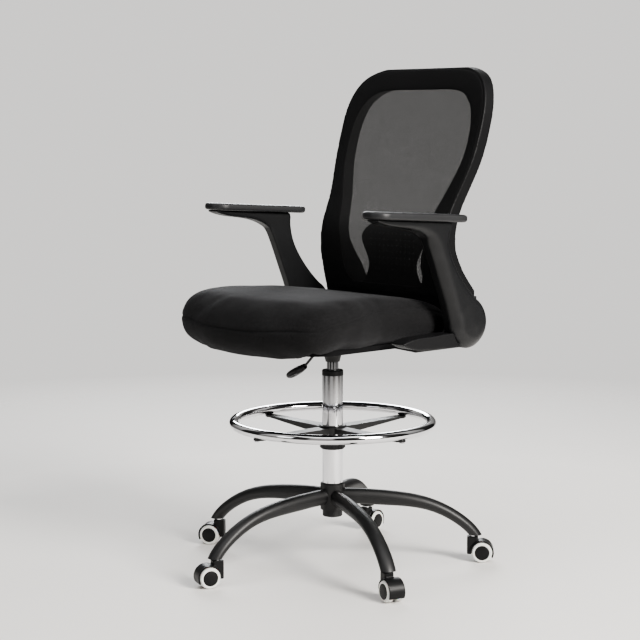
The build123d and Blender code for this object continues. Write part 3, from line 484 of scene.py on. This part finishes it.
def evenly(line, count):
    """count points spaced evenly along a polyline."""
    line = np.array(line, dtype=float)
    steps = np.linalg.norm(np.diff(line, axis=0), axis=1)
    along = np.concatenate([[0.0], np.cumsum(steps)])
    wanted = np.linspace(0.0, along[-1], count)
    return np.stack([np.interp(wanted, along, line[:, k]) for k in range(line.shape[1])], axis=1)


def loft(rings, capped=True):
    """Points and faces of a skin through rings that all have as many points."""
    size = len(rings[0])
    points = [point for ring in rings for point in ring]
    faces = []
    for i in range(len(rings) - 1):
        for j in range(size):
            k = (j + 1) % size
            faces.append((i * size + j, i * size + k, (i + 1) * size + k, (i + 1) * size + j))
    if capped:
        faces.append(tuple(range(size - 1, -1, -1)))
        faces.append(tuple((len(rings) - 1) * size + j for j in range(size)))
    return points, faces


def lathe(outline, centre, axis, steps, closed=False):
    """Points and faces of (reach, rise) pairs turned about an axis through centre."""
    axis = Vector(axis).normalized()
    first = axis.orthogonal().normalized()
    second = axis.cross(first)
    rings = []
    for reach, rise in outline:
        ring = []
        for step in range(steps):
            turn = 2 * math.pi * step / steps
            out = first * math.cos(turn) + second * math.sin(turn)
            ring.append(Vector(centre) + axis * rise + out * max(reach, WELD))
        rings.append(ring)
    if closed:
        rings.append(rings[0])
        return loft(rings, capped=False)
    return loft(rings)


def rounded(corners, radii, steps):
    """An outline of (reach, rise) pairs with each corner rounded by its own radius."""
    count = len(corners)
    outline = []
    for i, corner in enumerate(corners):
        corner = np.array(corner, dtype=float)
        before = np.array(corners[i - 1], dtype=float)
        after = np.array(corners[(i + 1) % count], dtype=float)
        if radii[i] <= 0:
            outline.append(tuple(corner))
            continue
        to_before = (before - corner) / np.linalg.norm(before - corner)
        to_after = (after - corner) / np.linalg.norm(after - corner)
        opening = math.acos(float(np.clip(to_before @ to_after, -1.0, 1.0)))
        reach = radii[i] / math.tan(opening / 2)
        for neighbour in (before, after):
            reach = min(reach, 0.49 * np.linalg.norm(neighbour - corner))
        start, end = corner + to_before * reach, corner + to_after * reach
        for t in np.linspace(0.0, 1.0, steps):
            bend = (1 - t) ** 2 * start + 2 * t * (1 - t) * corner + t * t * end
            outline.append(tuple(bend))
    return outline


def turned(outline, centre, axis, corner_steps, steps, closed=False):
    """Points and faces of (reach, rise, radius) corners, rounded and turned about an axis."""
    corners = [(reach, rise) for reach, rise, radius in outline]
    radii = [radius for reach, rise, radius in outline]
    return lathe(rounded(corners, radii, corner_steps), centre, axis, steps, closed)


def applied(made):
    """Turn a piece's modifiers into its mesh."""
    bpy.context.view_layer.update()
    graph = bpy.context.evaluated_depsgraph_get()
    mesh = bpy.data.meshes.new_from_object(made.evaluated_get(graph))
    made.modifiers.clear()
    made.data = mesh
    return made


def crowned(made, passes, axis=0):
    """Round a moulding's faces along one axis and leave its outline along the others."""
    smooth = made.modifiers.new("crown", "SMOOTH")
    smooth.use_x, smooth.use_y, smooth.use_z = (axis == k for k in range(3))
    smooth.factor = SMOOTHING
    smooth.iterations = passes
    return applied(made)


def fused(name, skins, voxel, passes):
    """One soft-edged piece from overlapping closed skins, each (points, faces)."""
    points, faces = [], []
    for skin_points, skin_faces in skins:
        start = len(points)
        points += [tuple(point) for point in skin_points]
        faces += [tuple(start + k for k in face) for face in skin_faces]
    mesh = bpy.data.meshes.new(name)
    mesh.from_pydata(points, [], faces)
    made = bpy.data.objects.new(name, mesh)
    bpy.context.collection.objects.link(made)
    work = bmesh.new()
    work.from_mesh(mesh)
    bmesh.ops.remove_doubles(work, verts=work.verts, dist=WELD)
    bmesh.ops.recalc_face_normals(work, faces=work.faces)
    work.to_mesh(mesh)
    work.free()
    remesh = made.modifiers.new("remesh", "REMESH")
    remesh.mode = "VOXEL"
    remesh.voxel_size = voxel
    smooth = made.modifiers.new("smooth", "SMOOTH")
    smooth.factor = SMOOTHING
    smooth.iterations = passes
    return applied(made)


def cad_skin(node):
    """A CAD node's own points and faces."""
    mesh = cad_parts[node].data
    return [tuple(v.co) for v in mesh.vertices], [tuple(p.vertices) for p in mesh.polygons]


def softened(name, nodes, voxel, passes, finish, body):
    """CAD nodes remade as one moulding with rounded edges."""
    made = fused(name, [cad_skin(node) for node in nodes], voxel, passes)
    return dress(made, finish, body, nodes)


def swollen(made, share):
    """Thicken a moulding by this share across its thinnest direction."""
    mesh = made.data
    points = np.array([vertex.co[:] for vertex in mesh.vertices])
    offsets = points - points.mean(axis=0)
    thin = np.linalg.svd(offsets, full_matrices=False)[2][2]
    points += np.outer(offsets @ thin, thin) * share
    mesh.vertices.foreach_set("co", points.ravel())
    mesh.update()
    return made


def middle(node):
    """The centre of a CAD node's box."""
    low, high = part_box(node)
    return (Vector(low) + Vector(high)) / 2


def top(node):
    """The height of a CAD node's top."""
    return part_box(node)[1][2]


def foot(node):
    """The height of a CAD node's foot."""
    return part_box(node)[0][2]


# ---------------------------------------------------------------- seat cushion
SHELL_TOP = top("seat_shell")
SHELL_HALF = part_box("seat_shell")[1][0]
SHELL_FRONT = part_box("seat_shell")[0][1]
CUSHION_REAR = 0.183
CUSHION_FRONT = 0.322
CUSHION_BOW = 0.036
CUSHION_MID = (CUSHION_REAR - CUSHION_FRONT) / 2
CUSHION_PLAN = [
    # x, y and corner radius of the left half, from the front to the rear
    (0.090, -CUSHION_FRONT - 0.002, 0.200), (0.271, CUSHION_BOW - CUSHION_FRONT, 0.092),
    (0.271, -0.150, 0.050), (0.250, -0.062, 0.060), (0.248, CUSHION_REAR + 0.002, 0.046),
]
CUSHION_CROWN = [
    # y and height of the top, from the front to the rear
    (-0.322, 0.652), (-0.262, 0.664), (-0.170, 0.669), (-0.040, 0.664), (0.080, 0.650), (0.183, 0.632),
]
CUSHION_RINGS = [
    # share of the plan, share of the height
    (0.02, 0.0), (0.45, 0.0), (0.76, 0.0), (0.845, 0.005), (0.90, 0.035), (0.945, 0.10),
    (0.978, 0.20), (0.995, 0.33), (1.0, 0.47), (0.995, 0.62), (0.975, 0.76), (0.94, 0.87),
    (0.885, 0.945), (0.80, 0.985),
    (0.6, 1.0), (0.3, 1.0), (0.02, 1.0),
]
CUSHION_POINTS = 200
CUSHION_SLACK = 0.985
LIP_SHARE = 0.80
LIP_DROP = 0.027
COVER_PRESSURE = 4.0
COVER_MOST = 9.0 * MM
COVER_PASSES = 34
SEAM_DEPTH = 2.0 * MM
SEAM_SWELL = 0.7 * MM


def cushion_outline():
    """The cushion's plan, as evenly spaced points."""
    whole = CUSHION_PLAN + [(-x, y, radius) for x, y, radius in reversed(CUSHION_PLAN)]
    corners = [(x, y) for x, y, radius in whole]
    radii = [radius for x, y, radius in whole]
    outline = rounded(corners, radii, 14)
    return evenly(outline + outline[:1], CUSHION_POINTS + 1)[:-1]


def cushion_form():
    """The cut foam: flat where it sits on the shell, with a lip down over its front edge."""
    crown_y, crown_z = zip(*CUSHION_CROWN)
    outline = cushion_outline()
    rings = []
    for share, rise in CUSHION_RINGS:
        ring = []
        for plan_x, plan_y in outline:
            x = plan_x * share * CUSHION_SLACK
            y = CUSHION_MID + (plan_y - CUSHION_MID) * share * CUSHION_SLACK
            high = np.interp(y, crown_y, crown_z)
            low = SHELL_TOP + 0.5 * MM
            if share > LIP_SHARE:
                droop = float(np.clip((-0.190 - y) / 0.080, 0.0, 1.0))
                low -= LIP_DROP * droop * (1.0 - 0.45 * (x / 0.27) ** 2)
            ring.append((x, y, low + (high - low) * rise))
        rings.append(ring)
    return loft(rings)


def inflate(made, pressure, most, frames=20):
    """Puff a closed form out as sewn cloth, moving no point further than most."""
    rest = np.array([v.co[:] for v in made.data.vertices])
    cloth = made.modifiers.new("cloth", "CLOTH")
    cloth.settings.quality = 5
    cloth.settings.mass = 0.3
    cloth.settings.tension_stiffness = 12.0
    cloth.settings.compression_stiffness = 12.0
    cloth.settings.bending_stiffness = 0.6
    cloth.settings.use_pressure = True
    cloth.settings.uniform_pressure_force = pressure
    cloth.settings.effector_weights.gravity = 0.0
    cloth.collision_settings.use_collision = False
    cloth.point_cache.frame_start = 1
    cloth.point_cache.frame_end = frames
    for step in range(1, frames + 1):
        bpy.context.scene.frame_set(step)
    applied(made)
    bpy.context.scene.frame_set(1)
    moved = np.array([v.co[:] for v in made.data.vertices]) - rest
    length = np.linalg.norm(moved, axis=1, keepdims=True)
    kept = rest + moved * np.minimum(1.0, most / np.maximum(length, 1e-9))
    made.data.vertices.foreach_set("co", kept.ravel())


def relaxed(made, passes):
    """Ease the creases out of a piece."""
    smooth = made.modifiers.new("relax", "SMOOTH")
    smooth.factor = SMOOTHING
    smooth.iterations = passes
    return applied(made)


def subdivided(made):
    """Halve a mesh's edges and round it."""
    modifier = made.modifiers.new("subdivide", "SUBSURF")
    modifier.levels = 1
    modifier.render_levels = 1
    return applied(made)


def seam_height(x, y):
    """How high the top seam runs round the cushion's side."""
    front = 0.600 + 0.010 * np.clip(np.abs(x) / 0.18, 0.0, 1.0) ** 2
    along = 0.622 + 0.020 * np.clip((y + 0.230) / 0.130, 0.0, 1.0)
    along -= 0.034 * np.clip((y - 0.020) / 0.150, 0.0, 1.0) ** 2
    share = np.clip((y + 0.280) / 0.060, 0.0, 1.0)
    share = share * share * (3 - 2 * share)
    return front * (1 - share) + along * share


def seat_cushion():
    """The foam in its sewn cover."""
    made = fused("seat_cushion_cover", [cushion_form()], 5.0 * MM, 2)
    inflate(made, COVER_PRESSURE, COVER_MOST)
    relaxed(made, COVER_PASSES)
    subdivided(made)
    points = np.array([v.co[:] for v in made.data.vertices])
    normals = np.array([v.normal[:] for v in made.data.vertices])
    x, y, z = points.T
    # the foam lies flat on the shell
    rests = (np.abs(x) < SHELL_HALF + 2 * MM) & (y > SHELL_FRONT - 3 * MM) & (normals[:, 2] < -0.2)
    points[rests, 2] = np.maximum(points[rests, 2], SHELL_TOP + 0.3 * MM)
    # the top seam is pulled into the side
    beside = np.abs(normals[:, 2]) < 0.93
    off = z - seam_height(x, y)
    sink = SEAM_DEPTH * np.exp(-(off / (2.0 * MM)) ** 2) * beside
    swell = SEAM_SWELL * np.exp(-((np.abs(off) - 9 * MM) / (6 * MM)) ** 2) * beside
    level = normals * [1.0, 1.0, 0.25]
    points += level * (swell - sink)[:, None]
    # soft dents where the cover is pulled tight over the foam
    ripple = np.sin(x * 37 + 1.3) * np.sin(y * 31 + 0.4) + 0.6 * np.sin(x * 61 + y * 47)
    points += normals * (0.30 * MM * ripple * (normals[:, 2] > -0.3))[:, None]
    made.data.vertices.foreach_set("co", points.ravel())
    dress(made, CLOTH, "seat", ["seat_cushion"])


# ---------------------------------------------------------------- back
BACK_TOP = 0.642
BACK_HALF = 0.243
BACK_WAIST_TRIM = 0.025
BORDER_TOP = 0.052
BORDER_SIDE = 0.035
OPENING_FOOT_HALF = 0.142
BACK_FACE = [
    # y and height above the shell, up the middle of the frame's front
    (0.179, 0.096), (0.163, 0.174), (0.167, 0.253), (0.204, 0.333), (0.249, 0.438),
    (0.293, 0.578), (0.318, 0.642),
]
BACK_BOW = 0.014
BOW_STARTS = 0.700
BOW_RISE = 0.260
BACK_BAND_Z = SHELL_TOP + 0.086
OPENING_FOOT_Z = BACK_BAND_Z + 0.024
BACK_CURVE = curve_through(BACK_FACE, 160)


def back_face(z):
    """The front face of the back frame at a height."""
    return np.interp(np.asarray(z) - SHELL_TOP, BACK_CURVE[:, 1], BACK_CURVE[:, 0])


def bowed(x, z):
    """How far the back's sides come forward of its middle at a point of its face."""
    rise = float(np.clip((z - BOW_STARTS) / BOW_RISE, 0.0, 1.0))
    return BACK_BOW * (x / BACK_HALF) ** 2 * rise * rise * (3 - 2 * rise)


def bow(made):
    """Bend a flat-across piece of the back round the sitter."""
    for vertex in made.data.vertices:
        vertex.co.y -= bowed(vertex.co.x, vertex.co.z)
    return made


def back_edge(trim, count):
    """The back's outline from the top middle down its left side to the foot, as (x, z)."""
    high = SHELL_TOP + BACK_TOP - trim
    side = BACK_HALF - trim
    waist = side - BACK_WAIST_TRIM
    return curve_through([
        (0.0, high + 0.003), (side - 0.095, high - 0.002), (side - 0.038, high - 0.027),
        (side - 0.007, high - 0.080), (side, high - 0.160), (side - 0.005, high - 0.232),
        (side - 0.017, high - 0.290), (waist, high - 0.345), (waist + 0.001, high - 0.389),
        (waist + 0.005, high - 0.468), (waist + 0.003, BACK_BAND_Z + 0.008),
    ], count)


def opening_edge(grow, count):
    """The frame's opening from the top middle down its left side to the foot, as (x, z)."""
    high = SHELL_TOP + BACK_TOP - BORDER_TOP + grow
    side = BACK_HALF - BORDER_SIDE + grow
    low = OPENING_FOOT_HALF + grow
    return curve_through([
        (0.0, high), (side - 0.078, high - 0.003), (side - 0.028, high - 0.030),
        (side - 0.006, high - 0.074), (side, high - 0.122), (side - 0.005, high - 0.180),
        (side - 0.024, high - 0.240), (side - 0.042, high - 0.290), (low + 0.008, high - 0.362),
        (low - 0.006, OPENING_FOOT_Z + 0.026), (low - 0.028, OPENING_FOOT_Z - grow),
    ], count)


def whole_edge(half, foot_steps):
    """A closed outline from its left half, with a level foot."""
    half = [tuple(point) for point in half]
    end = half[-1]
    across = [(end[0] * (1 - 2 * k / foot_steps), end[1]) for k in range(1, foot_steps)]
    back = [(-x, z) for x, z in reversed(half[1:])]
    return half + across + back


EDGE_STEPS = 150
FOOT_STEPS = 40
PANEL_RINGS = 26


def panel_skin():
    """The see-through mesh, stretched across the frame's opening."""
    edge = whole_edge(opening_edge(0.002, EDGE_STEPS), FOOT_STEPS)
    rings = []
    for share in np.linspace(1.0, 0.0, PANEL_RINGS):
        ring = []
        for x, z in edge:
            spine = np.clip(z, 0.780, 1.080)
            px, pz = x * share, spine + (z - spine) * share
            slack = 1.5 * MM * (1 - share ** 2)
            ring.append((px, float(back_face(pz)) - 0.9 * MM + slack, pz))
        rings.append(ring)
    return loft(rings, capped=False)


BORDER_SECTION = [
    # share of the way from the outer edge to the opening, height off the frame in mm
    (0.0, 1.8), (0.006, 0.2), (0.03, -1.1), (0.10, -1.9), (0.35, -2.1), (0.7, -2.0), (0.93, -1.8),
    (0.985, -1.1), (1.0, 0.6),
]


def border_skin():
    """The mesh where it is doubled over the frame, with a rolled outer edge."""
    outer = whole_edge(back_edge(0.0045, EDGE_STEPS), FOOT_STEPS)
    inner = whole_edge(opening_edge(-0.0015, EDGE_STEPS), FOOT_STEPS)
    rings = []
    for share, lift in BORDER_SECTION:
        ring = []
        for (ox, oz), (ix, iz) in zip(outer, inner):
            x, z = ox + (ix - ox) * share, oz + (iz - oz) * share
            ring.append((x, float(back_face(z)) + lift * MM, z))
        rings.append(ring)
    return loft(rings, capped=False)


def back_cloth():
    """The stretched mesh: see-through in the opening and doubled where it covers the frame."""
    points, faces = panel_skin()
    border_points, border_faces = border_skin()
    start, panels = len(points), len(faces)
    points += border_points
    faces += [tuple(start + k for k in face) for face in border_faces]
    made = piece("back_mesh_cloth", points, faces, MESH_CLOTH, "seat", ["back_mesh"])
    made.data.materials.append(EDGE_CLOTH)
    for index, polygon in enumerate(made.data.polygons):
        polygon.material_index = int(index >= panels)
    bow(made)


# ---------------------------------------------------------------- arms
ELBOW_Y = 0.169
ELBOW_Z = 0.603
ELBOW_MIDDLE = 22.5 * MM
ELBOW_OUTLINE = [
    # reach from the elbow's axis, rise along it and corner radius
    (0.0, -22.0 * MM, 0), (59.0 * MM, -20.5 * MM, 17.0 * MM),
    (59.0 * MM, 19.0 * MM, 17.0 * MM), (0.0, 25.0 * MM, 0),
]
DOME_REACH = 26.0 * MM
DOME_THINNING = 0.46
DOME_FADE = 0.045
WALL_TILT = 0.30
ARM_CROWN_PASSES = 24
ARM_EASE_PASSES = 6
PAD_PASSES = 40


def domed(made, inner, under_pad):
    """Thin an arm towards its outline on the outer side, so that its outer face is a full round."""
    walls = [v.co for v in made.data.vertices if abs(v.normal.x) < WALL_TILT]
    edge = KDTree(len(walls))
    for index, place in enumerate(walls):
        edge.insert((0.0, place.y, place.z), index)
    edge.balance()
    for vertex in made.data.vertices:
        x, y, z = vertex.co
        inward = min(1.0, edge.find((0.0, y, z))[2] / DOME_REACH)
        below = float(np.clip((under_pad - z) / DOME_FADE, 0.0, 1.0))
        thin = DOME_THINNING * (1.0 - inward) ** 2 * below
        vertex.co.x = inner + (x - inner) * (1.0 - thin)


def shown_arm(side, sign):
    """The arm: its moulding, with a full round elbow, and its pad."""
    node = f"arm_{side}"
    low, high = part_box(node)
    inner = low[0] if sign > 0 else high[0]
    elbow = (inner + sign * ELBOW_MIDDLE, ELBOW_Y, ELBOW_Z)
    puck = turned(ELBOW_OUTLINE, elbow, (sign, 0, 0), 8, 72)
    made = fused(f"arm_{side}_moulding", [cad_skin(node), puck], 2.4 * MM, 8)
    domed(made, inner, foot(f"arm_pad_{side}"))
    crowned(made, ARM_CROWN_PASSES)
    relaxed(made, ARM_EASE_PASSES)
    dress(made, ARM_PLASTIC, node, [node])
    pad = softened(f"arm_pad_{side}_skin", [f"arm_pad_{side}"], 2.0 * MM, 10, PAD_SKIN, node)
    crowned(pad, PAD_PASSES, axis=2)


# ---------------------------------------------------------------- casters
WHEEL_RADIUS = 25.0 * MM
CAP_RADIUS = 18.4 * MM
WHEEL_NEAR = 5.4 * MM
WHEEL_FACE = 22.4 * MM
TREAD_OUTLINE = [
    # reach from the axle, rise along it and corner radius
    (CAP_RADIUS - 2 * MM, WHEEL_NEAR, 0),
    (WHEEL_RADIUS - 0.6 * MM, WHEEL_NEAR, 1.5 * MM),
    (WHEEL_RADIUS, WHEEL_NEAR + 3 * MM, 2 * MM),
    (WHEEL_RADIUS, WHEEL_FACE - 4.5 * MM, 2.5 * MM),
    (WHEEL_RADIUS - 2.5 * MM, WHEEL_FACE - 0.6 * MM, 1.5 * MM),
    (CAP_RADIUS - 1 * MM, WHEEL_FACE - 0.9 * MM, 0.3 * MM),
    (CAP_RADIUS - 2 * MM, WHEEL_FACE - 2 * MM, 0),
]
CAP_OUTLINE = [
    (0.0, WHEEL_NEAR + 1.0 * MM, 0),
    (CAP_RADIUS - 1 * MM, WHEEL_NEAR + 0.6 * MM, 0.4 * MM),
    (CAP_RADIUS, WHEEL_NEAR + 2 * MM, 0.4 * MM),
    (CAP_RADIUS, WHEEL_FACE - 1.4 * MM, 0.4 * MM),
    (CAP_RADIUS - 0.6 * MM, WHEEL_FACE - 0.4 * MM, 0.4 * MM),
    (CAP_RADIUS - 1.8 * MM, WHEEL_FACE + 0.3 * MM, 1.5 * MM),
    (8.0 * MM, WHEEL_FACE + 1.3 * MM, 8 * MM),
    (0.0, WHEEL_FACE + 1.5 * MM, 0),
]


def shown_caster(number):
    """The two wheels of a caster, each with a pale tread and a domed cap, and the hood."""
    centre = middle(f"caster_axle_{number}")
    for side, _ in SIDES:
        node = f"caster_wheel_{number}_{side}"
        body = f"wheel_{number}_{side}"
        out = (middle(node) - centre).normalized()
        points, faces = turned(TREAD_OUTLINE, centre, out, 6, 96, closed=True)
        piece(f"{node}_tread", points, faces, TREAD, body, [node])
        points, faces = turned(CAP_OUTLINE, centre, out, 6, 96)
        piece(f"{node}_cap", points, faces, CAP_PLASTIC, body, [node])
    softened(
        f"caster_hood_{number}_shell", [f"caster_hood_{number}"], 1.1 * MM, 5, CAP_PLASTIC,
        f"caster_{number}",
    )


# ---------------------------------------------------------------- carried-over parts
def repaint(node, finish):
    """Give a CAD part its finish."""
    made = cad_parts[node]
    for place in made.material_slots:
        place.material = finish
    if not made.material_slots:
        made.data.materials.append(finish)


CARRIED = {
    STEEL: ["base_hub", "seat_plate", "ring_spider", "ring_collar", "ring_sleeve", "lever_rod"]
    + [f"base_leg_{k}" for k in CASTERS],
    CHROME: ["lift_cylinder", "ring_hoop"] + [f"caster_stem_{k}" for k in CASTERS],
    COLUMN_CHROME: ["column_tube"],
    ZINC: [
        "release_pin", "piston_rod", "rod_clip", "ring_bolts", "pivot_pins", "seat_bolts",
        "thrust_bearing",
    ] + [f"caster_axle_{k}" for k in CASTERS],
    PLASTIC: ["guide_bush", "leg_sockets", "lumbar_panel"],
    DUST: ["seat_shell"],
}


# ---------------------------------------------------------------- the studio
def lay_floor():
    """A wide plain floor under the casters."""
    reach = 30
    points = [(-reach, -reach, 0), (reach, -reach, 0), (reach, reach, 0), (-reach, reach, 0)]
    mesh = bpy.data.meshes.new("studio_floor")
    mesh.from_pydata(points, [], [(0, 1, 2, 3)])
    floor = bpy.data.objects.new("studio_floor", mesh)
    floor.data.materials.append(floor_finish())
    bpy.context.collection.objects.link(floor)


place_camera()
lay_floor()
area_light("key", (4.4, 0.2, 2.6), (0, 0, 0.6), (1.6, 2.4), 400.0, (1.0, 0.97, 0.93))
area_light("window", (-3.4, 2.6, 2.6), (0, 0, 0.7), (2.2, 2.4), 160.0, (0.96, 0.98, 1.0))
area_light("front", (-0.6, -5.2, 2.4), (0, 0, 0.6), (1.6, 2.0), 22.0)
sky_light(1.0, 50.0, (12.0, 10.0))
studio_world()
bpy.context.scene.view_settings.look = "AgX - Medium High Contrast"

# ---------------------------------------------------------------- the chair
for finish, nodes in CARRIED.items():
    for node in nodes:
        repaint(node, finish)

seat_cushion()
back_cloth()
bow(softened("back_frame_moulding", ["back_frame"], 2.2 * MM, 8, FRAME_PLASTIC, "seat"))
for side, sign in SIDES:
    shown_arm(side, sign)
    softened(
        f"side_bracket_{side}_moulding", [f"side_bracket_{side}"], 1.8 * MM, 8, PLASTIC,
        "seat",
    )
for number in CASTERS:
    shown_caster(number)
grip = softened(
    "lever_paddle_grip", ["lever_paddle"], 1.0 * MM, 6, CAP_PLASTIC, "lever"
)
swollen(grip, 0.5)
